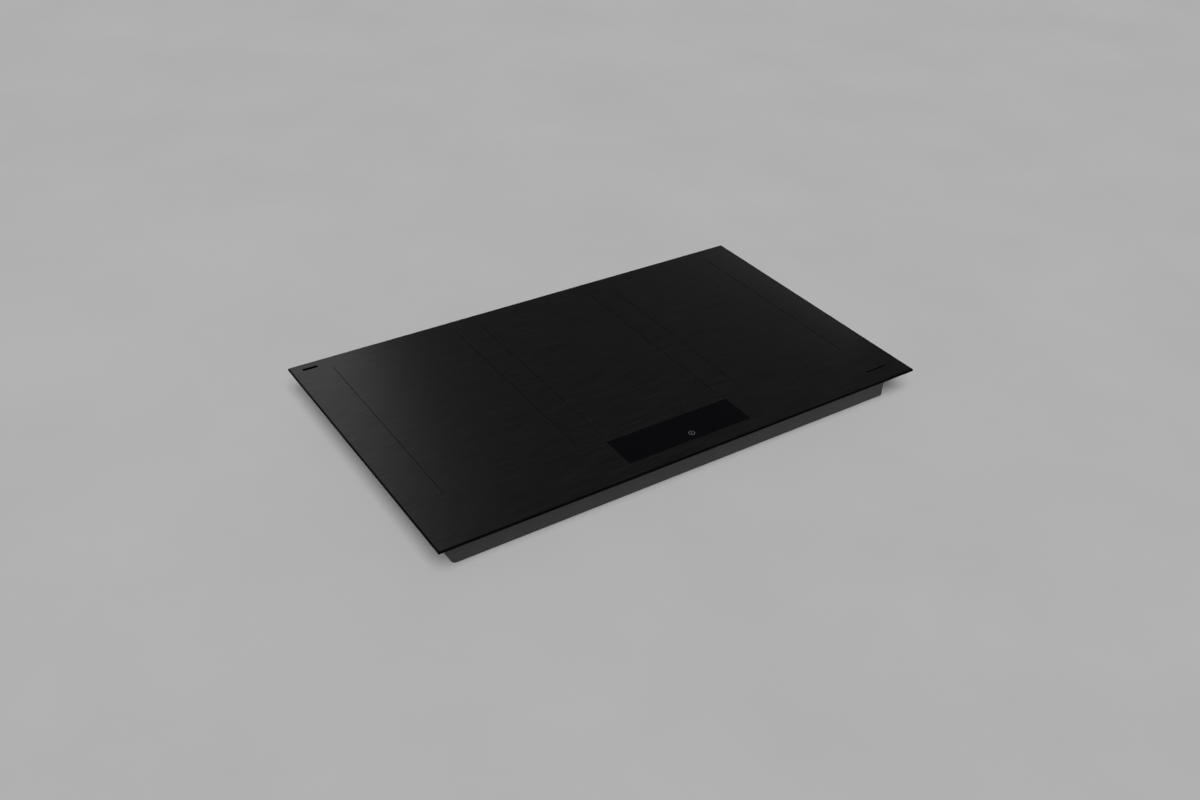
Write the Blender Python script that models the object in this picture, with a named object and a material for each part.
"""A built-in induction cooktop as an assembly of separate pieces.

Metres, +Z up. X runs along the width with the user's left at -X, and Y runs from the front edge at -Y to
the back edge at +Y. The origin lies under the middle of the glass, on the underside of the steel tray.
"""

import math

import bmesh
import bpy
from mathutils import Matrix, Vector

# Fits
FIT_GAP = 0.0003  # between faces that touch
LOOSE_GAP = 0.001  # round pieces that only have to stay clear
THREAD_GAP = 0.00015  # round a screw that is driven into sheet

# Glass plate
GLASS_WIDTH = 0.900
GLASS_DEPTH = 0.520
GLASS_THICKNESS = 0.004
GLASS_CORNER_RADIUS = 0.0015
GLASS_EDGE_BEVEL = 0.0005

# How the body hangs in the worktop
BODY_HEIGHT = 0.050  # tray underside to the worktop's top face
RIM_OVERHANG_SIDE = 0.034  # glass past the tray, left and right
RIM_OVERHANG_END = 0.025  # glass past the tray, front and back
SEAL_INSET = 0.003
SEAL_WIDTH = 0.010
SEAL_THICKNESS = 0.0017

# Support frame, a pressed steel ring glued under the glass
FRAME_SHEET = 0.001
FRAME_SKIRT_HEIGHT = 0.011
FRAME_INNER_LIP = 0.003
FRAME_TO_SEAL = 0.002

# Tray
TRAY_SHEET = 0.0008
TRAY_CORNER_RADIUS = 0.006
TRAY_BOTTOM_CHAMFER = 0.0015
VENT_WIDTH = 0.0035
VENT_PITCH = 0.0075
VENT_CORNER = 0.0015
EXHAUST_LENGTH = 0.044
EXHAUST_COUNT = 16  # slots in each of the two groups
EXHAUST_FROM_FRONT = 0.042  # tray wall to the middle of the slots
EXHAUST_GROUP_X = 0.245
STANDOFF_RADIUS = 0.0035
STANDOFF_HEIGHT = 0.0045
STANDOFF_INSET = 0.007

# Cooking zones: each is a pair of coils, one behind the other
ZONE_NAMES = ("left", "middle", "right")
COIL_NAMES = ("front", "rear")
ZONE_SIDE_MARGIN = 0.0645  # glass edge to the outer zone line
ZONE_GAP = 0.048
ZONE_FRONT_MARGIN = 0.116
ZONE_BACK_MARGIN = 0.034
COIL_GAP = 0.006
MICA_THICKNESS = 0.0006
WINDING_HEIGHT = 0.0044
WINDING_TURNS = 6
WINDING_PITCH = 0.0085
WINDING_GROOVE = 0.0012
WINDING_CORNER_RADIUS = 0.068
WINDING_INSET = 0.004  # carrier edge to the winding
CARRIER_THICKNESS = 0.004
CARRIER_CORNER_RADIUS = 0.060
CARRIER_EDGE = 0.003  # zone line to the carrier
FERRITE_COUNT = 8
FERRITE_WIDTH = 0.012
FERRITE_HEIGHT = 0.0019
FERRITE_INNER_RADIUS = 0.018
SENSOR_RADIUS = 0.0055
SENSOR_BASE_RADIUS = 0.008
SENSOR_BASE_HEIGHT = 0.006

# Coil plate, the aluminium shield that carries the coils
PLATE_SHEET = 0.0015
PLATE_EDGE = 0.006  # zone line to the plate's side wall
PLATE_LIP = 0.006

# Touch control
PANEL_WIDTH = 0.233
PANEL_DEPTH = 0.062
PANEL_FROM_FRONT = 0.030
PANEL_WALL = 0.002
PANEL_FLOOR_BELOW_GLASS = 0.011
PANEL_LEG_WIDTH = 0.010
UI_BOARD_THICKNESS = 0.0016
DISPLAY_WIDTH = 0.120
DISPLAY_DEPTH = 0.022
RIBBON_WIDTH = 0.020
RIBBON_THICKNESS = 0.0009
RIBBON_X = -0.060
RIBBON_STEPS = 16
RIBBON_DROP_SHARE = 0.8  # how straight it leaves the tub, as a share of the whole drop
RIBBON_REACH_SHARE = 0.9  # how straight it arrives on the board, as a share of the whole reach

# Electronics
BOARD_THICKNESS = 0.0016
BOARD_HOLE_RADIUS = 0.0016
BAY_COUNT = 3
BAY_GAP = 0.008
BAY_SIDE_GAP = 0.004
BOARD_TO_FAN = 0.008
FIN_COUNT = 9
FIN_THICKNESS = 0.0016
SINK_WIDTH = 0.062
SINK_BASE = 0.004
SINK_END_MARGIN = 0.020
CAPACITOR_SIZE = (0.032, 0.042, 0.024)
CHOKE_RADIUS = 0.016  # middle of the wound ring
CHOKE_TUBE_RADIUS = 0.0065

# Cooling fans
FAN_X = 0.262
FAN_FROM_BACK = 0.060  # tray wall to the fan's axis
SCROLL_RADIUS = 0.037
SCROLL_GROWTH = 0.011
SCROLL_TONGUE_X = 0.030
SCROLL_OUTLET = 0.046  # axis to the mouth
SCROLL_WALL = 0.0018
SCROLL_HEIGHT = 0.026
IMPELLER_RADIUS = 0.034
IMPELLER_BOTTOM = 0.004
IMPELLER_TOP = 0.0205
HUB_RADIUS = 0.017
HUB_WALL = 0.0015
BLADE_COUNT = 15
BLADE_ROOT_RADIUS = 0.024
BLADE_THICKNESS = 0.0011
BLADE_SWEEP = 22  # degrees from root to tip
BLADE_STEPS = 3
BLADE_END_INSET = 0.0005  # blade ends inside the disc's and the tie ring's outer faces
TIE_RING_OVERHANG = 0.0003
TIE_RING_WIDTH = 0.0033
SPINDLE_RADIUS = 0.0012
MOTOR_FLANGE_RADIUS = 0.019

# Terminal box, in a recess of the tray's back wall
RECESS_WIDTH = 0.130
RECESS_DEPTH = 0.046
RECESS_HEIGHT = 0.030
BOX_WIDTH = 0.100
BOX_WALL = 0.002
BOX_FOOT = 0.001  # box floor above the tray's underside
LID_THICKNESS = 0.0018
LID_GAP = 0.0004
LID_PIN_RADIUS = 0.001
LID_PIN_CLEARANCE = 0.00025
LID_AXIS_FROM_TOP = 0.0043
LID_AXIS_FROM_BACK = 0.003
POLE_COUNT = 6
POLE_PITCH = 0.0135
POLE_WELL_RADIUS = 0.0038
POLE_WELL_DEPTH = 0.005
BLOCK_DEPTH = 0.014
BLOCK_HEIGHT = 0.017
GLAND_BORE_RADIUS = 0.006
GLAND_NECK_RADIUS = 0.009
GLAND_NUT_RADIUS = 0.0105
GLAND_LENGTH = 0.016
GLAND_NUT_LENGTH = 0.008
GLAND_NUT_TAPER = 0.0015
GLAND_TIP_RADIUS = 0.0077
GLAND_AXIS_FROM_BACK = 0.023

# Worktop clamps, folded into pockets of the tray's side walls
POCKET_DEPTH = 0.020
POCKET_LENGTH = 0.080
POCKET_HEIGHT = 0.028
POCKET_FROM_MIDDLE = 0.150
CLAMP_LENGTH = 0.060  # pivot to tip
CLAMP_WIDTH = 0.015
CLAMP_THICKNESS = 0.0025
CLAMP_TOOTH = 0.003
CLAMP_PIVOT_FROM_END = 0.012
CLAMP_SCREW_RADIUS = 0.0025
CLAMP_SCREW_LENGTH = 0.026  # above the flange
CLAMP_HEAD_BOTTOM = 0.0025
CLAMP_HEAD_HEIGHT = 0.0035
CLAMP_HEAD_RADIUS = 0.0046
CLAMP_HEAD_SIDES = 6
CLAMP_FLANGE_RADIUS = 0.006
CLAMP_FLANGE_HEIGHT = 0.001

# Screws that hold the tray to the frame's skirt
TRAY_SCREW_Y = 0.070
TRAY_SCREW_RADIUS = 0.0016
TRAY_SCREW_HEAD_RADIUS = 0.0036
TRAY_SCREW_HEAD_HEIGHT = 0.0018
TRAY_SCREW_CROWN_RADIUS = 0.0025
TRAY_SCREW_LENGTH = 0.006
TRAY_SCREW_BELOW_FLANGE = 0.0055

# Smoothness of round shapes
CORNER_STEPS = 3
COIL_CORNER_STEPS = 6
ROUND_STEPS = 24
SMALL_STEPS = 10
SMOOTH_ANGLE = math.radians(40)

# Places that follow from the sizes above
TRAY_WIDTH = GLASS_WIDTH - 2 * RIM_OVERHANG_SIDE
TRAY_DEPTH = GLASS_DEPTH - 2 * RIM_OVERHANG_END
TRAY_SIDE = TRAY_WIDTH / 2
TRAY_BACK = TRAY_DEPTH / 2
SEAL_TOP = BODY_HEIGHT + SEAL_THICKNESS
GLASS_BOTTOM = SEAL_TOP + FIT_GAP
GLASS_TOP = GLASS_BOTTOM + GLASS_THICKNESS
FLANGE_TOP = GLASS_BOTTOM - FIT_GAP
FLANGE_BOTTOM = FLANGE_TOP - FRAME_SHEET
TRAY_TOP = FLANGE_BOTTOM - FIT_GAP
FLOOR_TOP = TRAY_SHEET
MICA_BOTTOM = GLASS_BOTTOM - FIT_GAP - MICA_THICKNESS
WINDING_TOP = MICA_BOTTOM - FIT_GAP
WINDING_BOTTOM = WINDING_TOP - WINDING_HEIGHT
CARRIER_TOP = WINDING_BOTTOM - FIT_GAP
CARRIER_BOTTOM = CARRIER_TOP - CARRIER_THICKNESS
PLATE_TOP = CARRIER_BOTTOM - FERRITE_HEIGHT - FIT_GAP
PLATE_BOTTOM = PLATE_TOP - PLATE_SHEET
ZONE_COUNT = len(ZONE_NAMES)
ZONE_WIDTH = (GLASS_WIDTH - 2 * ZONE_SIDE_MARGIN - (ZONE_COUNT - 1) * ZONE_GAP) / ZONE_COUNT
ZONE_FRONT = -GLASS_DEPTH / 2 + ZONE_FRONT_MARGIN
ZONE_BACK = GLASS_DEPTH / 2 - ZONE_BACK_MARGIN
COIL_DEPTH = (ZONE_BACK - ZONE_FRONT - COIL_GAP) / 2
PLATE_SIDE = GLASS_WIDTH / 2 - ZONE_SIDE_MARGIN + PLATE_EDGE
PLATE_FRONT = ZONE_FRONT - PLATE_EDGE
PLATE_BACK = ZONE_BACK + FRAME_INNER_LIP
PANEL_Y = -GLASS_DEPTH / 2 + PANEL_FROM_FRONT + PANEL_DEPTH / 2
PANEL_FLOOR = GLASS_BOTTOM - PANEL_FLOOR_BELOW_GLASS
BOARD_BOTTOM = FLOOR_TOP + STANDOFF_HEIGHT
BOARD_TOP = BOARD_BOTTOM + BOARD_THICKNESS
BAY_SIDE = PLATE_SIDE - PLATE_SHEET - BAY_SIDE_GAP
BAY_WIDTH = (2 * BAY_SIDE - (BAY_COUNT - 1) * BAY_GAP) / BAY_COUNT
FAN_Y = TRAY_BACK - FAN_FROM_BACK
FAN_TOP = FLOOR_TOP + FIT_GAP + SCROLL_HEIGHT
BOARD_FRONT = PLATE_FRONT + BAY_GAP
BOARD_BACK = FAN_Y - SCROLL_OUTLET - BOARD_TO_FAN
RECESS_FRONT = TRAY_BACK - RECESS_DEPTH
BOX_LEFT = -RECESS_WIDTH / 2 + FIT_GAP
BOX_RIGHT = BOX_LEFT + BOX_WIDTH
BOX_TOP = RECESS_HEIGHT - FIT_GAP
BOX_BACK = TRAY_BACK - FIT_GAP
BOX_FRONT = RECESS_FRONT + FIT_GAP
LID_AXIS_Y = BOX_BACK - LID_AXIS_FROM_BACK
LID_AXIS_Z = BOX_TOP - LID_AXIS_FROM_TOP
GLAND_Y = BOX_BACK - GLAND_AXIS_FROM_BACK
GLAND_Z = (BOX_FOOT + BOX_TOP) / 2
CLAMP_X = TRAY_SIDE - POCKET_DEPTH / 2
CLAMP_Y = POCKET_FROM_MIDDLE + POCKET_LENGTH / 2 - CLAMP_PIVOT_FROM_END
CLAMP_BOTTOM = CLAMP_HEAD_BOTTOM + CLAMP_HEAD_HEIGHT + CLAMP_FLANGE_HEIGHT + FIT_GAP
TRAY_SCREW_Z = FLANGE_BOTTOM - TRAY_SCREW_BELOW_FLANGE

# Principled BSDF settings: colour, roughness, metallic
FINISHES = {
    "black_glass": ((0.012, 0.012, 0.013), 0.42, 0.0),
    "foam_seal": ((0.020, 0.020, 0.020), 0.90, 0.0),
    "black_steel": ((0.025, 0.025, 0.026), 0.45, 0.0),
    "zinc_steel": ((0.560, 0.570, 0.580), 0.38, 0.9),
    "aluminium": ((0.760, 0.770, 0.780), 0.35, 1.0),
    "copper": ((0.720, 0.330, 0.160), 0.35, 1.0),
    "mica": ((0.620, 0.550, 0.420), 0.60, 0.0),
    "black_plastic": ((0.025, 0.025, 0.027), 0.55, 0.0),
    "grey_plastic": ((0.330, 0.340, 0.350), 0.55, 0.0),
    "white_plastic": ((0.720, 0.710, 0.680), 0.50, 0.0),
    "circuit_board": ((0.020, 0.120, 0.050), 0.45, 0.0),
    "display": ((0.030, 0.006, 0.006), 0.20, 0.0),
    "screw_steel": ((0.500, 0.500, 0.510), 0.30, 1.0),
}


# ---------------------------------------------------------------- shapes
def rounded_outline(width, depth, radius, centre=(0.0, 0.0), steps=CORNER_STEPS):
    """A rectangle with round corners, counter-clockwise."""
    points = []
    for corner in range(4):
        turn = corner * math.pi / 2
        side_x = 1 if corner in (0, 3) else -1
        side_y = 1 if corner in (0, 1) else -1
        middle_x = centre[0] + side_x * (width / 2 - radius)
        middle_y = centre[1] + side_y * (depth / 2 - radius)
        for step in range(steps + 1):
            angle = turn + step * math.pi / 2 / steps
            points.append((middle_x + radius * math.cos(angle), middle_y + radius * math.sin(angle)))
    return points


def rectangle(low, high):
    return [(low[0], low[1]), (high[0], low[1]), (high[0], high[1]), (low[0], high[1])]


def circle(radius, centre=(0.0, 0.0), steps=ROUND_STEPS):
    turns = [2 * math.pi * step / steps for step in range(steps)]
    return [(centre[0] + radius * math.cos(a), centre[1] + radius * math.sin(a)) for a in turns]


def at_height(outline, z):
    return [Vector((x, y, z)) for x, y in outline]


class Shell:
    """One closed surface: loops of points skinned in order, capped at both ends or joined into a ring."""

    def __init__(self, loops, ring=False):
        self.loops = [[Vector(point) for point in loop] for loop in loops]
        self.ring = ring

    def moved(self, matrix):
        return Shell([[matrix @ point for point in loop] for loop in self.loops], self.ring)

    def add_to(self, bm):
        rows = [[bm.verts.new(point) for point in loop] for loop in self.loops]
        pairs = list(zip(rows, rows[1:]))
        if self.ring:
            pairs.append((rows[-1], rows[0]))
        else:
            bm.faces.new(rows[0])
            bm.faces.new(rows[-1])
        for low, high in pairs:
            for index in range(len(low)):
                after = (index + 1) % len(low)
                bm.faces.new((low[index], low[after], high[after], high[index]))


def prism(outline, low, high):
    return Shell([at_height(outline, low), at_height(outline, high)])


def block(low, high):
    return prism(rectangle(low, high), low[2], high[2])


def turned(profile, centre=(0.0, 0.0), steps=ROUND_STEPS, ring=False):
    """A profile of (radius, height) pairs turned about a vertical axis."""
    return Shell([at_height(circle(radius, centre, steps), z) for radius, z in profile], ring)


def lying_along(axis, place):
    """A matrix that lays a shape turned about +Z along the given direction, with its origin at place."""
    return Matrix.Translation(place) @ Vector(axis).to_track_quat("Z", "Y").to_matrix().to_4x4()


# ---------------------------------------------------------------- objects
def make_material(name):
    colour, roughness, metallic = FINISHES[name]
    material = bpy.data.materials.new(name)
    material.use_nodes = True
    shader = material.node_tree.nodes["Principled BSDF"]
    shader.inputs["Base Color"].default_value = (*colour, 1.0)
    shader.inputs["Roughness"].default_value = roughness
    shader.inputs["Metallic"].default_value = metallic
    return material


def make_object(name, shells, origin=(0.0, 0.0, 0.0)):
    """An object with its origin at the given place, and the shells where their points say."""
    bm = bmesh.new()
    for shell in shells:
        shell.add_to(bm)
    bmesh.ops.recalc_face_normals(bm, faces=bm.faces)
    bmesh.ops.translate(bm, verts=bm.verts, vec=-Vector(origin))
    mesh = bpy.data.meshes.new(name)
    bm.to_mesh(mesh)
    bm.free()
    made = bpy.data.objects.new(name, mesh)
    made.location = origin
    bpy.context.scene.collection.objects.link(made)
    return made


def piece(name, shell, finish, origin=(0.0, 0.0, 0.0)):
    """One sub-part: a closed solid with its material."""
    made = make_object(name, [shell], origin)
    material = bpy.data.materials.get(finish) or make_material(finish)
    made.data.materials.append(material)
    made.data.shade_smooth()
    made.data.set_sharp_from_angle(angle=SMOOTH_ANGLE)
    return made


def helper(name, shells):
    """A solid that only cuts or joins others."""
    made = make_object(name, shells)
    made.hide_render = True
    made.display_type = "WIRE"
    return made


def combine(target, other, operation):
    modifier = target.modifiers.new(other.name, "BOOLEAN")
    modifier.operation = operation
    modifier.solver = "EXACT"
    modifier.object = other


def cut(target, name, shells):
    combine(target, helper(name, shells), "DIFFERENCE")


def join(target, name, shells):
    combine(target, helper(name, shells), "UNION")


# ---------------------------------------------------------------- glass, seal and frame
def make_glass_top():
    """Black glass-ceramic plate with ground, slightly bevelled edges."""

    def outline(inset):
        return rounded_outline(
            GLASS_WIDTH - 2 * inset, GLASS_DEPTH - 2 * inset, GLASS_CORNER_RADIUS - inset
        )

    levels = (
        (GLASS_EDGE_BEVEL, GLASS_BOTTOM),
        (0.0, GLASS_BOTTOM + GLASS_EDGE_BEVEL),
        (0.0, GLASS_TOP - GLASS_EDGE_BEVEL),
        (GLASS_EDGE_BEVEL, GLASS_TOP),
    )
    piece("glass_top", Shell([at_height(outline(inset), z) for inset, z in levels]), "black_glass")


def seal_outline(inset):
    """The glass outline moved inwards, as the seal's edges run."""
    radius = max(GLASS_CORNER_RADIUS, inset)
    return rounded_outline(GLASS_WIDTH - 2 * inset, GLASS_DEPTH - 2 * inset, radius)


def make_edge_seal():
    """Foam strip between the glass rim and the worktop."""
    outer = seal_outline(SEAL_INSET)
    inner = seal_outline(SEAL_INSET + SEAL_WIDTH)
    loops = [
        at_height(outer, BODY_HEIGHT),
        at_height(outer, SEAL_TOP),
        at_height(inner, SEAL_TOP),
        at_height(inner, BODY_HEIGHT),
    ]
    piece("edge_seal", Shell(loops, ring=True), "foam_seal")


def tray_outline(inset):
    """The tray's outer outline moved inwards, or outwards where inset is negative."""
    radius = max(TRAY_CORNER_RADIUS - inset, FRAME_SHEET)
    return rounded_outline(TRAY_WIDTH - 2 * inset, TRAY_DEPTH - 2 * inset, radius)


def make_support_frame():
    """Steel ring glued to the glass: a flat flange on top, and a skirt inside the tray's walls."""
    skirt_out = TRAY_SHEET + FIT_GAP
    skirt_in = skirt_out + FRAME_SHEET
    skirt_bottom = FLANGE_BOTTOM - FRAME_SKIRT_HEIGHT
    flange_out = seal_outline(SEAL_INSET + SEAL_WIDTH + FRAME_TO_SEAL)
    flange_in = tray_outline(skirt_in + FRAME_INNER_LIP)
    loops = [
        at_height(flange_out, FLANGE_TOP),
        at_height(flange_out, FLANGE_BOTTOM),
        at_height(tray_outline(skirt_out), FLANGE_BOTTOM),
        at_height(tray_outline(skirt_out), skirt_bottom),
        at_height(tray_outline(skirt_in), skirt_bottom),
        at_height(tray_outline(skirt_in), FLANGE_BOTTOM),
        at_height(flange_in, FLANGE_BOTTOM),
        at_height(flange_in, FLANGE_TOP),
    ]
    frame = piece("support_frame", Shell(loops, ring=True), "black_steel")
    cut(frame, "frame_screw_holes", tray_screw_bars(TRAY_SCREW_RADIUS + THREAD_GAP))


# ---------------------------------------------------------------- tray
def side_places():
    """(name, side, end) of the four clamps: side is -1 left and +1 right, end is -1 front and +1 rear."""
    for side_name, side in (("left", -1), ("right", 1)):
        for end_name, end in (("front", -1), ("rear", 1)):
            yield f"{side_name}_{end_name}", side, end


def pocket_block(side, end, wall):
    """The space of one clamp pocket, grown by wall on its closed sides."""
    inner = side * (TRAY_SIDE - POCKET_DEPTH - wall)
    outer = side * (TRAY_SIDE + POCKET_DEPTH)
    middle = end * POCKET_FROM_MIDDLE
    half = POCKET_LENGTH / 2 + wall
    low = (min(inner, outer), middle - half, -POCKET_DEPTH)
    high = (max(inner, outer), middle + half, POCKET_HEIGHT + wall)
    return block(low, high)


def recess_block(wall):
    """The space of the terminal box's recess, grown by wall on its closed sides."""
    half = RECESS_WIDTH / 2 + wall
    low = (-half, RECESS_FRONT - wall, -RECESS_DEPTH)
    high = (half, TRAY_BACK + RECESS_DEPTH, RECESS_HEIGHT + wall)
    return block(low, high)


def hollows(wall):
    pockets = [pocket_block(side, end, wall) for _, side, end in side_places()]
    return [*pockets, recess_block(wall)]


def vent(x, y, length):
    """A slot along Y with cut corners, tall enough to pass through the tray's floor."""
    outline = rounded_outline(VENT_WIDTH, length, VENT_CORNER, (x, y), 1)
    return prism(outline, -TRAY_SHEET, 2 * TRAY_SHEET)


def intake_vents():
    """Slots under each impeller that together fill a circle."""
    reach = IMPELLER_RADIUS - VENT_WIDTH / 2
    across = int(reach / VENT_PITCH)
    for side in (-1, 1):
        for index in range(-across, across + 1):
            offset = index * VENT_PITCH
            length = 2 * math.sqrt(reach**2 - offset**2)
            yield vent(side * FAN_X + offset, FAN_Y, length)


def exhaust_vents():
    """Two groups of slots under the front compartment."""
    y = -TRAY_BACK + EXHAUST_FROM_FRONT
    for side in (-1, 1):
        for index in range(EXHAUST_COUNT):
            offset = (index - (EXHAUST_COUNT - 1) / 2) * VENT_PITCH
            yield vent(side * EXHAUST_GROUP_X + offset, y, EXHAUST_LENGTH)


def board_corners():
    """Middles of the standoffs under the corners of the three circuit boards."""
    for x in bay_middles():
        for side in (-1, 1):
            for y in (BOARD_FRONT + STANDOFF_INSET, BOARD_BACK - STANDOFF_INSET):
                yield x + side * (BAY_WIDTH / 2 - STANDOFF_INSET), y


def tray_screw_bars(radius):
    """Round bars through the tray's side walls and the frame's skirt, where the tray screws go."""
    shells = []
    for _, side, end in side_places():
        place = (side * (TRAY_SIDE - TRAY_SCREW_LENGTH), end * TRAY_SCREW_Y, TRAY_SCREW_Z)
        bar = turned([(radius, 0), (radius, 2 * TRAY_SCREW_LENGTH)], steps=SMALL_STEPS)
        shells.append(bar.moved(lying_along((side, 0, 0), place)))
    return shells


def clamp_screw_bars(radius):
    """Round bars through the ceilings of the clamp pockets."""
    low, high = POCKET_HEIGHT - TRAY_SHEET, POCKET_HEIGHT + 2 * TRAY_SHEET
    return [
        turned([(radius, low), (radius, high)], (side * CLAMP_X, end * CLAMP_Y), SMALL_STEPS)
        for _, side, end in side_places()
    ]


def make_bottom_tray():
    """Pressed steel tray with clamp pockets, a terminal recess, vents, standoffs and screw holes."""

    def pressed(inset, bottom, top):
        chamfer = tray_outline(inset + TRAY_BOTTOM_CHAMFER)
        full = tray_outline(inset)
        corner = bottom + TRAY_BOTTOM_CHAMFER
        return Shell([at_height(chamfer, bottom), at_height(full, corner), at_height(full, top)])

    tray = piece("bottom_tray", pressed(0.0, 0.0, TRAY_TOP), "black_steel")
    cavity = helper("tray_cavity", [pressed(TRAY_SHEET, FLOOR_TOP, 2 * TRAY_TOP)])
    cut(cavity, "tray_hollow_walls", hollows(TRAY_SHEET))
    combine(tray, cavity, "DIFFERENCE")
    cut(tray, "tray_hollows", hollows(0.0))
    standoff = [(STANDOFF_RADIUS, TRAY_SHEET / 2), (STANDOFF_RADIUS, BOARD_BOTTOM - FIT_GAP)]
    join(tray, "tray_standoffs", [turned(standoff, corner, SMALL_STEPS) for corner in board_corners()])
    cut(tray, "tray_vents", [*intake_vents(), *exhaust_vents()])
    cut(tray, "tray_screw_holes", tray_screw_bars(TRAY_SCREW_RADIUS + FIT_GAP))
    cut(tray, "tray_clamp_holes", clamp_screw_bars(CLAMP_SCREW_RADIUS + LOOSE_GAP))


def make_tray_screws():
    """Pan-head screws through the tray's side walls into the frame's skirt."""
    profile = [
        (TRAY_SCREW_RADIUS, -TRAY_SCREW_LENGTH),
        (TRAY_SCREW_RADIUS, FIT_GAP),
        (TRAY_SCREW_HEAD_RADIUS, FIT_GAP),
        (TRAY_SCREW_HEAD_RADIUS, FIT_GAP + TRAY_SCREW_HEAD_HEIGHT / 2),
        (TRAY_SCREW_CROWN_RADIUS, FIT_GAP + TRAY_SCREW_HEAD_HEIGHT),
    ]
    for name, side, end in side_places():
        place = Vector((side * TRAY_SIDE, end * TRAY_SCREW_Y, TRAY_SCREW_Z))
        screw = turned(profile, steps=SMALL_STEPS).moved(lying_along((side, 0, 0), place))
        piece(f"tray_screw_{name}", screw, "screw_steel", place)


# ---------------------------------------------------------------- coils
def zone_middle_x(zone):
    return (zone - (ZONE_COUNT - 1) / 2) * (ZONE_WIDTH + ZONE_GAP)


def coil_middle_y(coil):
    return ZONE_FRONT + COIL_DEPTH / 2 + coil * (COIL_DEPTH + COIL_GAP)


def make_coil_plate():
    """Aluminium shield: a flat top with side walls down to the tray's floor and short lips front and back."""
    foot = FLOOR_TOP + FIT_GAP
    full = block((-PLATE_SIDE, PLATE_FRONT, foot), (PLATE_SIDE, PLATE_BACK, PLATE_TOP))
    plate = piece("coil_plate", full, "aluminium")
    inside = PLATE_SIDE - PLATE_SHEET
    front, back = PLATE_FRONT + PLATE_SHEET, PLATE_BACK - PLATE_SHEET
    cut(plate, "plate_inside", [block((-inside, front, -foot), (inside, back, PLATE_BOTTOM))])
    below_lips = block((-inside, 2 * front, -foot), (inside, 2 * back, PLATE_BOTTOM - PLATE_LIP))
    cut(plate, "plate_ends", [below_lips])


def carrier_size():
    return ZONE_WIDTH - 2 * CARRIER_EDGE, COIL_DEPTH


def limited_radius(radius, depth):
    """A corner radius that leaves a straight stretch at the ends of a shape of this depth."""
    return min(radius, depth / 2 - LOOSE_GAP)


def make_coil_carrier(name, x, y):
    """Moulded spider under one winding, with the ferrite bars as ribs below it."""
    width, depth = carrier_size()
    corner = limited_radius(CARRIER_CORNER_RADIUS, depth)
    outline = rounded_outline(width, depth, corner, (x, y), COIL_CORNER_STEPS)
    disc = prism(outline, CARRIER_BOTTOM, CARRIER_TOP)
    carrier = piece(name, disc, "black_plastic", (x, y, CARRIER_BOTTOM))
    reach = min(width, depth) / 2 - WINDING_INSET
    bar = block(
        (FERRITE_INNER_RADIUS, -FERRITE_WIDTH / 2, CARRIER_BOTTOM - FERRITE_HEIGHT),
        (reach, FERRITE_WIDTH / 2, CARRIER_BOTTOM + CARRIER_THICKNESS / 2),
    )
    turns = [(index + 0.5) * 2 * math.pi / FERRITE_COUNT for index in range(FERRITE_COUNT)]
    place = Matrix.Translation((x, y, 0.0))
    join(carrier, f"{name}_ribs", [bar.moved(place @ Matrix.Rotation(turn, 4, "Z")) for turn in turns])
    radius = SENSOR_BASE_RADIUS + LOOSE_GAP
    cut(carrier, f"{name}_hole", [turned([(radius, 0.0), (radius, GLASS_TOP)], (x, y))])


def make_coil_winding(name, x, y):
    """Flat litz-wire coil: a rounded ring whose top is ridged by its turns."""
    width, depth = (size - 2 * WINDING_INSET for size in carrier_size())
    corner = limited_radius(WINDING_CORNER_RADIUS, depth)

    def loop(inset, z):
        size = (width - 2 * inset, depth - 2 * inset)
        return at_height(rounded_outline(*size, corner - inset, (x, y), COIL_CORNER_STEPS), z)

    groove = WINDING_TOP - WINDING_GROOVE
    loops = [loop(0.0, WINDING_BOTTOM), loop(0.0, groove)]
    for turn in range(WINDING_TURNS):
        loops.append(loop((turn + 0.5) * WINDING_PITCH, WINDING_TOP))
        loops.append(loop((turn + 1) * WINDING_PITCH, groove))
    loops.append(loop(WINDING_TURNS * WINDING_PITCH, WINDING_BOTTOM))
    piece(name, Shell(loops, ring=True), "copper", (x, y, WINDING_BOTTOM))


def make_coil_sensor(name, x, y):
    """Temperature sensor in the middle of a coil, standing on the plate and reaching up to the glass."""
    shoulder = PLATE_TOP + FIT_GAP + SENSOR_BASE_HEIGHT
    profile = [
        (SENSOR_BASE_RADIUS, PLATE_TOP + FIT_GAP),
        (SENSOR_BASE_RADIUS, shoulder),
        (SENSOR_RADIUS, shoulder),
        (SENSOR_RADIUS, GLASS_BOTTOM - FIT_GAP),
    ]
    piece(name, turned(profile, (x, y), SMALL_STEPS), "white_plastic", (x, y, PLATE_TOP))


def make_mica_sheet(name, x):
    """Insulating sheet over both coils of a zone, with a hole for each sensor."""
    width, _ = carrier_size()
    middle = (ZONE_FRONT + ZONE_BACK) / 2
    low = (x - width / 2, ZONE_FRONT, MICA_BOTTOM)
    high = (x + width / 2, ZONE_BACK, MICA_BOTTOM + MICA_THICKNESS)
    sheet = piece(name, block(low, high), "mica", (x, middle, MICA_BOTTOM))
    radius = SENSOR_RADIUS + LOOSE_GAP
    holes = [
        turned([(radius, WINDING_TOP), (radius, GLASS_TOP)], (x, coil_middle_y(coil)), SMALL_STEPS)
        for coil in range(len(COIL_NAMES))
    ]
    cut(sheet, f"{name}_holes", holes)


def make_zones():
    for zone, zone_name in enumerate(ZONE_NAMES):
        x = zone_middle_x(zone)
        make_mica_sheet(f"mica_sheet_{zone_name}", x)
        for coil, coil_name in enumerate(COIL_NAMES):
            y = coil_middle_y(coil)
            place = f"{zone_name}_{coil_name}"
            make_coil_carrier(f"coil_carrier_{place}", x, y)
            make_coil_winding(f"coil_winding_{place}", x, y)
            make_coil_sensor(f"coil_sensor_{place}", x, y)


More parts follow.
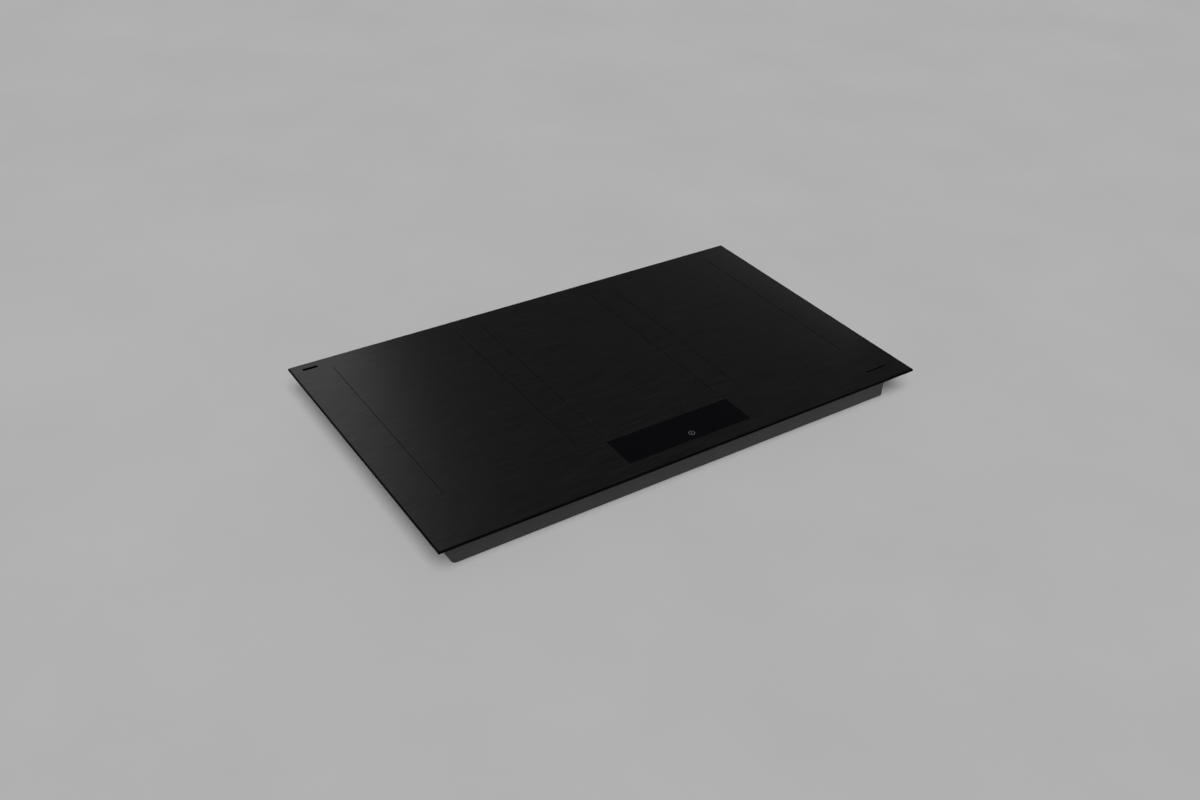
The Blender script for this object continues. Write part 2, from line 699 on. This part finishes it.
# ---------------------------------------------------------------- touch control
def make_ui_carrier():
    """Plastic tub under the control window, on two legs that stand on the tray's floor."""
    half_x = PANEL_WIDTH / 2 + PANEL_WALL
    half_y = PANEL_DEPTH / 2 + PANEL_WALL
    low = (-half_x, PANEL_Y - half_y, PANEL_FLOOR - PANEL_WALL)
    high = (half_x, PANEL_Y + half_y, TRAY_TOP)
    tub = piece("ui_carrier", block(low, high), "grey_plastic", (0.0, PANEL_Y, PANEL_FLOOR))
    inner_low = (-PANEL_WIDTH / 2, PANEL_Y - PANEL_DEPTH / 2, PANEL_FLOOR)
    inner_high = (PANEL_WIDTH / 2, PANEL_Y + PANEL_DEPTH / 2, 2 * GLASS_TOP)
    cut(tub, "ui_carrier_inside", [block(inner_low, inner_high)])
    legs = []
    for side in (-1, 1):
        outer = side * half_x
        inner = side * (half_x - PANEL_LEG_WIDTH)
        leg_low = (min(inner, outer), PANEL_Y - PANEL_DEPTH / 4, FLOOR_TOP + FIT_GAP)
        leg_high = (max(inner, outer), PANEL_Y + PANEL_DEPTH / 4, PANEL_FLOOR - PANEL_WALL / 2)
        legs.append(block(leg_low, leg_high))
    join(tub, "ui_carrier_legs", legs)


def ui_board_span():
    """Bottom and top of the touch board."""
    bottom = PANEL_FLOOR + FIT_GAP + PANEL_WALL
    return bottom, bottom + UI_BOARD_THICKNESS


def make_ui_board():
    """Touch circuit board, held by the tub's walls."""
    bottom, top = ui_board_span()
    half_x = PANEL_WIDTH / 2 - FIT_GAP
    half_y = PANEL_DEPTH / 2 - FIT_GAP
    shell = block((-half_x, PANEL_Y - half_y, bottom), (half_x, PANEL_Y + half_y, top))
    piece("ui_board", shell, "circuit_board", (0.0, PANEL_Y, bottom))


def make_ui_display():
    """Light block between the touch board and the glass."""
    bottom = ui_board_span()[1] + FIT_GAP
    top = GLASS_BOTTOM - FIT_GAP
    outline = rounded_outline(DISPLAY_WIDTH, DISPLAY_DEPTH, PANEL_WALL, (0.0, PANEL_Y))
    piece("ui_display", prism(outline, bottom, top), "display", (0.0, PANEL_Y, bottom))


def make_ribbon_cable():
    """Flat cable from the touch control's tub down to the edge of the filter board."""
    off_face = FIT_GAP + RIBBON_THICKNESS / 2
    start = Vector((RIBBON_X, PANEL_Y + PANEL_DEPTH / 2 + PANEL_WALL + off_face, PANEL_FLOOR + PANEL_WALL))
    end = Vector((RIBBON_X, BOARD_FRONT + STANDOFF_INSET, BOARD_TOP + off_face))
    drop = Vector((0.0, 0.0, (end.z - start.z) * RIBBON_DROP_SHARE))
    reach = Vector((0.0, (end.y - start.y) * RIBBON_REACH_SHARE, 0.0))
    handles = (start, start + drop, end - reach, end)
    loops = []
    for step in range(RIBBON_STEPS + 1):
        t = step / RIBBON_STEPS
        weights = ((1 - t) ** 3, 3 * t * (1 - t) ** 2, 3 * t**2 * (1 - t), t**3)
        slopes = (-((1 - t) ** 2), (1 - t) * (1 - 3 * t), t * (2 - 3 * t), t**2)
        point = sum((h * w for h, w in zip(handles, weights)), Vector())
        along = sum((h * s for h, s in zip(handles, slopes)), Vector()).normalized()
        normal = along.cross(Vector((1.0, 0.0, 0.0)))
        side = Vector((RIBBON_WIDTH / 2, 0.0, 0.0))
        thick = normal * RIBBON_THICKNESS / 2
        loops.append([point - side - thick, point + side - thick, point + side + thick, point - side + thick])
    piece("ribbon_cable", Shell(loops), "grey_plastic", start)


# ---------------------------------------------------------------- electronics
def bay_middles():
    return [(index - (BAY_COUNT - 1) / 2) * (BAY_WIDTH + BAY_GAP) for index in range(BAY_COUNT)]


def make_board(name, x):
    """Circuit board on four standoffs, with a screw hole over each."""
    low = (x - BAY_WIDTH / 2, BOARD_FRONT, BOARD_BOTTOM)
    high = (x + BAY_WIDTH / 2, BOARD_BACK, BOARD_TOP)
    board = piece(name, block(low, high), "circuit_board", (x, BOARD_FRONT, BOARD_BOTTOM))
    holes = [
        turned([(BOARD_HOLE_RADIUS, 0.0), (BOARD_HOLE_RADIUS, 2 * BOARD_TOP)], corner, SMALL_STEPS)
        for corner in board_corners()
        if abs(corner[0] - x) < BAY_WIDTH / 2
    ]
    cut(board, f"{name}_holes", holes)


def make_heat_sink(name, x):
    """Extruded comb of fins along the fan's air stream."""
    low = BOARD_TOP + FIT_GAP
    high = PLATE_BOTTOM - PLATE_LIP
    gap = (SINK_WIDTH - FIN_COUNT * FIN_THICKNESS) / (FIN_COUNT - 1)
    left = x - SINK_WIDTH / 2
    comb = [(left + SINK_WIDTH, low), (left, low)]
    for fin in range(FIN_COUNT):
        start = left + fin * (FIN_THICKNESS + gap)
        comb += [(start, low + SINK_BASE), (start, high), (start + FIN_THICKNESS, high)]
        comb += [(start + FIN_THICKNESS, low + SINK_BASE)]
    comb = [point for index, point in enumerate(comb) if index not in (2, len(comb) - 1)]
    front, back = BOARD_FRONT + SINK_END_MARGIN, BOARD_BACK - SINK_END_MARGIN
    loops = [[(px, y, pz) for px, pz in comb] for y in (front, back)]
    piece(name, Shell(loops), "aluminium", (x, front, low))


def make_capacitor(name, x, y):
    """Film capacitor standing on its board."""
    width, depth, height = CAPACITOR_SIZE
    low = BOARD_TOP + FIT_GAP
    outline = rounded_outline(width, depth, PANEL_WALL, (x, y))
    piece(name, prism(outline, low, low + height), "white_plastic", (x, y, low))


def make_filter_choke(x, y):
    """Wound ring core, lying on the filter board."""
    middle = BOARD_TOP + FIT_GAP + CHOKE_TUBE_RADIUS
    turns = [2 * math.pi * step / SMALL_STEPS - math.pi / 2 for step in range(SMALL_STEPS)]
    tube = [(CHOKE_TUBE_RADIUS * math.cos(a), CHOKE_TUBE_RADIUS * math.sin(a)) for a in turns]
    profile = [(CHOKE_RADIUS + out, middle + up) for out, up in tube]
    piece("filter_choke", turned(profile, (x, y), ring=True), "copper", (x, y, middle))


def make_electronics():
    left, middle, right = bay_middles()
    board_middle = (BOARD_FRONT + BOARD_BACK) / 2
    make_board("filter_board", middle)
    make_filter_choke(middle, board_middle)
    for name, x, side in (("left", left, -1), ("right", right, 1)):
        make_board(f"power_board_{name}", x)
        make_heat_sink(f"heat_sink_{name}", side * (FAN_X + SCROLL_RADIUS))
        make_capacitor(f"capacitor_{name}", side * (FAN_X - SINK_WIDTH), board_middle)


# ---------------------------------------------------------------- cooling fans
def scroll_outline(side, offset, mouth):
    """The fan scroll's plan, grown by offset. It widens with the turn and ends in a mouth in front."""
    start = math.pi + math.acos((SCROLL_TONGUE_X - offset) / (SCROLL_RADIUS + offset))
    end = 3 * math.pi
    points = []
    for step in range(ROUND_STEPS + 1):
        angle = start + (end - start) * step / ROUND_STEPS
        radius = SCROLL_RADIUS + offset + SCROLL_GROWTH * (angle - math.pi) / (2 * math.pi)
        points.append((radius * math.cos(angle), radius * math.sin(angle)))
    points.append((points[-1][0], -mouth))
    points.append((points[0][0], -mouth))
    return [(side * (FAN_X + -x), FAN_Y + y) for x, y in points]


def make_fan_housing(name, side):
    """Scroll-shaped cup, open to the tray's vents below and to the heat sink in front."""
    low = FLOOR_TOP + FIT_GAP
    outside = prism(scroll_outline(side, SCROLL_WALL, SCROLL_OUTLET), low, FAN_TOP)
    housing = piece(name, outside, "black_plastic", (side * FAN_X, FAN_Y, low))
    inside = prism(scroll_outline(side, 0.0, 2 * SCROLL_OUTLET), -low, FAN_TOP - SCROLL_WALL)
    cut(housing, f"{name}_inside", [inside])


def blade_shell(turn):
    """One impeller blade, swept forwards from its root to its tip."""
    tip = IMPELLER_RADIUS - BLADE_THICKNESS / 2
    sides = ([], [])
    for step in range(BLADE_STEPS + 1):
        share = step / BLADE_STEPS
        radius = BLADE_ROOT_RADIUS + (tip - BLADE_ROOT_RADIUS) * share
        angle = turn + math.radians(BLADE_SWEEP) * share**2
        half = BLADE_THICKNESS / 2 / radius
        for points, sign in zip(sides, (-1, 1)):
            points.append((radius * math.cos(angle + sign * half), radius * math.sin(angle + sign * half)))
    outline = sides[0] + sides[1][::-1]
    return prism(outline, IMPELLER_BOTTOM + BLADE_END_INSET, IMPELLER_TOP - BLADE_END_INSET)


def make_impeller(name, side):
    """Blower wheel that turns about its own origin: a cup over the motor, a disc, blades and a tie ring."""
    cup_floor = IMPELLER_BOTTOM + HUB_WALL
    disc_bottom = IMPELLER_TOP - HUB_WALL
    profile = [
        (SPINDLE_RADIUS, IMPELLER_TOP - HUB_WALL),
        (SPINDLE_RADIUS, cup_floor),
        (HUB_RADIUS - HUB_WALL, cup_floor),
        (HUB_RADIUS - HUB_WALL, IMPELLER_TOP),
        (IMPELLER_RADIUS, IMPELLER_TOP),
        (IMPELLER_RADIUS, disc_bottom),
        (HUB_RADIUS, disc_bottom),
        (HUB_RADIUS, IMPELLER_BOTTOM),
    ]
    centre = (side * FAN_X, FAN_Y)
    wheel = piece(name, turned(profile, centre), "grey_plastic", (*centre, IMPELLER_BOTTOM))
    place = Matrix.Translation((*centre, 0.0)) @ Matrix.Diagonal((side, 1.0, 1.0, 1.0))
    turns = [2 * math.pi * index / BLADE_COUNT for index in range(BLADE_COUNT)]
    join(wheel, f"{name}_blades", [blade_shell(turn).moved(place) for turn in turns])
    outer = IMPELLER_RADIUS + TIE_RING_OVERHANG
    inner = outer - TIE_RING_WIDTH
    ring = [(inner, IMPELLER_BOTTOM), (outer, IMPELLER_BOTTOM), (outer, cup_floor), (inner, cup_floor)]
    join(wheel, f"{name}_tie_ring", [turned(ring, centre, ring=True)])


def make_fan_motor(name, side):
    """Motor core that hangs from the housing's roof into the impeller's cup, with a bore for the spindle."""
    bore = SPINDLE_RADIUS + LOOSE_GAP / 2
    core = HUB_RADIUS - HUB_WALL - LOOSE_GAP
    bottom = IMPELLER_BOTTOM + HUB_WALL + LOOSE_GAP
    roof = FAN_TOP - SCROLL_WALL - FIT_GAP
    flange = IMPELLER_TOP + LOOSE_GAP
    profile = [(bore, bottom), (core, bottom), (core, flange), (MOTOR_FLANGE_RADIUS, flange)]
    profile += [(MOTOR_FLANGE_RADIUS, roof), (bore, roof)]
    piece(name, turned(profile, (side * FAN_X, FAN_Y), ring=True), "copper", (side * FAN_X, FAN_Y, bottom))


def make_fans():
    for name, side in (("left", -1), ("right", 1)):
        make_fan_housing(f"fan_housing_{name}", side)
        make_fan_motor(f"fan_motor_{name}", side)
        make_impeller(f"fan_impeller_{name}", side)


# ---------------------------------------------------------------- terminal box
def make_terminal_box():
    """Plastic box in the tray's recess, open to the back, with holes for the lid's pins and for the gland."""
    low = (BOX_LEFT, BOX_FRONT, BOX_FOOT)
    box = piece("terminal_box", block(low, (BOX_RIGHT, BOX_BACK, BOX_TOP)), "black_plastic", low)
    inner_low = (BOX_LEFT + BOX_WALL, BOX_FRONT + BOX_WALL, BOX_FOOT + BOX_WALL)
    inner_high = (BOX_RIGHT - BOX_WALL, BOX_BACK + BOX_WALL, BOX_TOP - BOX_WALL)
    cut(box, "terminal_box_inside", [block(inner_low, inner_high)])
    pin = LID_PIN_RADIUS + LID_PIN_CLEARANCE
    pin_bar = turned([(pin, -BOX_WALL), (pin, BOX_WIDTH + BOX_WALL)], steps=SMALL_STEPS)
    pin_place = lying_along((1, 0, 0), (BOX_LEFT, LID_AXIS_Y, LID_AXIS_Z))
    cut(box, "terminal_box_pin_holes", [pin_bar.moved(pin_place)])
    neck = GLAND_NECK_RADIUS + FIT_GAP
    hole = turned([(neck, -2 * BOX_WALL), (neck, BOX_WALL)])
    cut(box, "terminal_box_gland_hole", [hole.moved(lying_along((1, 0, 0), (BOX_RIGHT, GLAND_Y, GLAND_Z)))])


def make_terminal_block():
    """Block of screw terminals against the box's front wall, with a well for each pole."""
    low_y = BOX_FRONT + BOX_WALL + FIT_GAP
    low_z = BOX_FOOT + BOX_WALL + FIT_GAP
    middle = (BOX_LEFT + BOX_RIGHT) / 2
    half = POLE_COUNT * POLE_PITCH / 2
    body = block((middle - half, low_y, low_z), (middle + half, low_y + BLOCK_DEPTH, low_z + BLOCK_HEIGHT))
    made = piece("terminal_block", body, "white_plastic", (middle, low_y, low_z))
    profile = [(POLE_WELL_RADIUS, -POLE_WELL_DEPTH), (POLE_WELL_RADIUS, POLE_WELL_DEPTH)]
    well = turned(profile, steps=SMALL_STEPS)
    wells = []
    for pole in range(POLE_COUNT):
        x = middle + (pole - (POLE_COUNT - 1) / 2) * POLE_PITCH
        wells.append(well.moved(lying_along((0, 1, 0), (x, low_y + BLOCK_DEPTH, low_z + BLOCK_HEIGHT / 2))))
    cut(made, "terminal_block_wells", wells)


def make_terminal_lid():
    """Lid between the box's side walls. It hangs from pins at its top edge and swings out to the back."""
    axis = Vector(((BOX_LEFT + BOX_RIGHT) / 2, LID_AXIS_Y, LID_AXIS_Z))
    half = BOX_WIDTH / 2 - BOX_WALL - LID_GAP
    bottom = BOX_FOOT + BOX_WALL + LID_GAP
    front, back = axis.y - LID_THICKNESS / 2, axis.y + LID_THICKNESS / 2
    leaf = block((axis.x - half, front, bottom), (axis.x + half, back, axis.z))
    lid = piece("terminal_lid", leaf, "black_plastic", axis)
    stub = half + LID_GAP + BOX_WALL / 2
    barrel = [
        (LID_PIN_RADIUS, -stub),
        (LID_PIN_RADIUS, -half),
        (LID_THICKNESS, -half),
        (LID_THICKNESS, half),
        (LID_PIN_RADIUS, half),
        (LID_PIN_RADIUS, stub),
    ]
    join(lid, "terminal_lid_barrel", [turned(barrel, steps=SMALL_STEPS).moved(lying_along((1, 0, 0), axis))])


def make_cable_gland():
    """Hollow gland through the box's side wall for the mains cable."""
    neck_start = -BOX_WALL - FIT_GAP
    nut_start = FIT_GAP
    profile = [
        (GLAND_BORE_RADIUS, neck_start),
        (GLAND_NECK_RADIUS, neck_start),
        (GLAND_NECK_RADIUS, nut_start),
        (GLAND_NUT_RADIUS, nut_start),
        (GLAND_NUT_RADIUS, GLAND_NUT_LENGTH),
        (GLAND_NECK_RADIUS, GLAND_NUT_LENGTH + GLAND_NUT_TAPER),
        (GLAND_TIP_RADIUS, GLAND_LENGTH),
        (GLAND_BORE_RADIUS, GLAND_LENGTH),
    ]
    place = Vector((BOX_RIGHT, GLAND_Y, GLAND_Z))
    gland = turned(profile, ring=True).moved(lying_along((1, 0, 0), place))
    piece("cable_gland", gland, "black_plastic", place)


def make_terminals():
    make_terminal_box()
    make_terminal_block()
    make_terminal_lid()
    make_cable_gland()


# ---------------------------------------------------------------- clamps
def make_clamp_screw(name, x, y):
    """Hex-head screw that lifts the clamp as it is driven up into the pocket's ceiling."""
    flange_bottom = CLAMP_HEAD_BOTTOM + CLAMP_HEAD_HEIGHT
    flange_top = flange_bottom + CLAMP_FLANGE_HEIGHT
    profile = [
        (CLAMP_FLANGE_RADIUS, flange_bottom),
        (CLAMP_FLANGE_RADIUS, flange_top),
        (CLAMP_SCREW_RADIUS, flange_top),
        (CLAMP_SCREW_RADIUS, flange_top + CLAMP_SCREW_LENGTH),
    ]
    screw = piece(name, turned(profile, (x, y), SMALL_STEPS), "screw_steel", (x, y, CLAMP_HEAD_BOTTOM))
    head_top = flange_bottom + CLAMP_FLANGE_HEIGHT / 2
    hexagon = circle(CLAMP_HEAD_RADIUS, (x, y), CLAMP_HEAD_SIDES)
    join(screw, f"{name}_head", [prism(hexagon, CLAMP_HEAD_BOTTOM, head_top)])


def make_clamp_arm(name, x, y, end):
    """Flat arm that turns on its screw, with a tooth at the tip that bites under the worktop."""
    half = CLAMP_WIDTH / 2
    low, high = CLAMP_BOTTOM, CLAMP_BOTTOM + CLAMP_THICKNESS
    towards = -end
    bend = [math.pi * step / ROUND_STEPS for step in range(ROUND_STEPS + 1)]
    hub = [(x + half * math.cos(a), y - towards * half * math.sin(a)) for a in bend]
    tip_y = y + towards * CLAMP_LENGTH
    outline = [*hub, (x - half, tip_y), (x + half, tip_y)]
    arm = piece(name, prism(outline, low, high), "zinc_steel", (x, y, low))
    near, far = sorted((tip_y, tip_y - towards * CLAMP_THICKNESS))
    tooth = block((x - half, near, low + CLAMP_THICKNESS / 2), (x + half, far, high + CLAMP_TOOTH))
    join(arm, f"{name}_tooth", [tooth])
    radius = CLAMP_SCREW_RADIUS + FIT_GAP
    cut(arm, f"{name}_hole", [turned([(radius, 0.0), (radius, POCKET_HEIGHT)], (x, y), SMALL_STEPS)])


def make_clamps():
    for name, side, end in side_places():
        x, y = side * CLAMP_X, end * CLAMP_Y
        make_clamp_screw(f"clamp_screw_{name}", x, y)
        make_clamp_arm(f"clamp_arm_{name}", x, y, end)


def clear_scene():
    for existing in list(bpy.data.objects):
        bpy.data.objects.remove(existing)


def main():
    clear_scene()
    make_glass_top()
    make_edge_seal()
    make_support_frame()
    make_bottom_tray()
    make_tray_screws()
    make_coil_plate()
    make_zones()
    make_ui_carrier()
    make_ui_board()
    make_ui_display()
    make_ribbon_cable()
    make_electronics()
    make_fans()
    make_terminals()
    make_clamps()


main()
